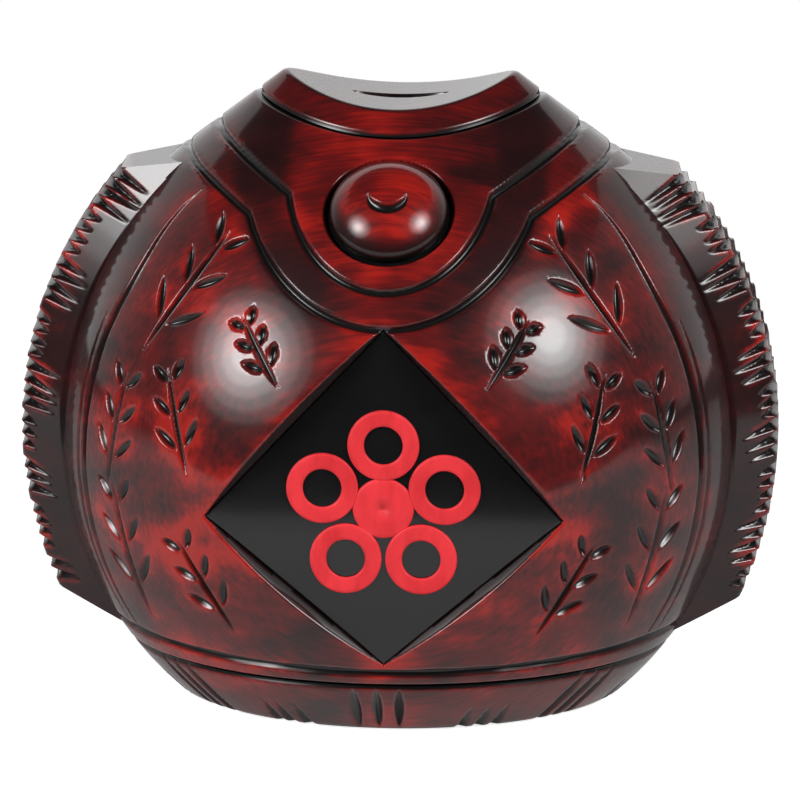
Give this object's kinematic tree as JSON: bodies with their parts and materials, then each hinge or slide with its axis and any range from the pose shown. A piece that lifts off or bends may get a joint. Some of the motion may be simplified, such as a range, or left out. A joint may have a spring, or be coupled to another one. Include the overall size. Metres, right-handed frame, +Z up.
{
  "type": "wooden money box",
  "caption": "Carved lacquered wooden money box shaped like a tied pouch, with a saddle top, coin slot, notched side fins, a diamond front panel and a pull-out stopper under the base.",
  "frame": {"origin": "under the middle of the whole box, on the surface that it stands on; the glued seam lies 3.1 mm in front of it, because the panel's recess shortens the front", "axes": "+X across the box towards its right fin, -Y out of the front with the diamond panel, +Z up"},
  "size_m": [0.242, 0.1798, 0.2],
  "materials": {
    "red_black_lacquer": "gloss",
    "bare_wood": "satin",
    "black_lacquer": "gloss",
    "vermilion_lacquer": "gloss",
    "stopper_rubber": "matte"
  },
  "bodies": {
    "box": {"front_shell": "red_black_lacquer", "rear_shell": "red_black_lacquer", "seam_dowels": "bare_wood", "left_fin": "red_black_lacquer", "right_fin": "red_black_lacquer", "neck_cap": "red_black_lacquer", "flap_button": "red_black_lacquer", "diamond_panel": "black_lacquer", "panel_motif": "vermilion_lacquer", "foot_ring": "red_black_lacquer", "base_board": "bare_wood"},
    "stopper": {"stopper": "stopper_rubber"}
  },
  "joints": [
    {"name": "stopper_pull", "type": "slide", "parent": "box", "child": "stopper", "axis": [0, 0, -1], "range_m": [0, 0.025]}
  ]
}
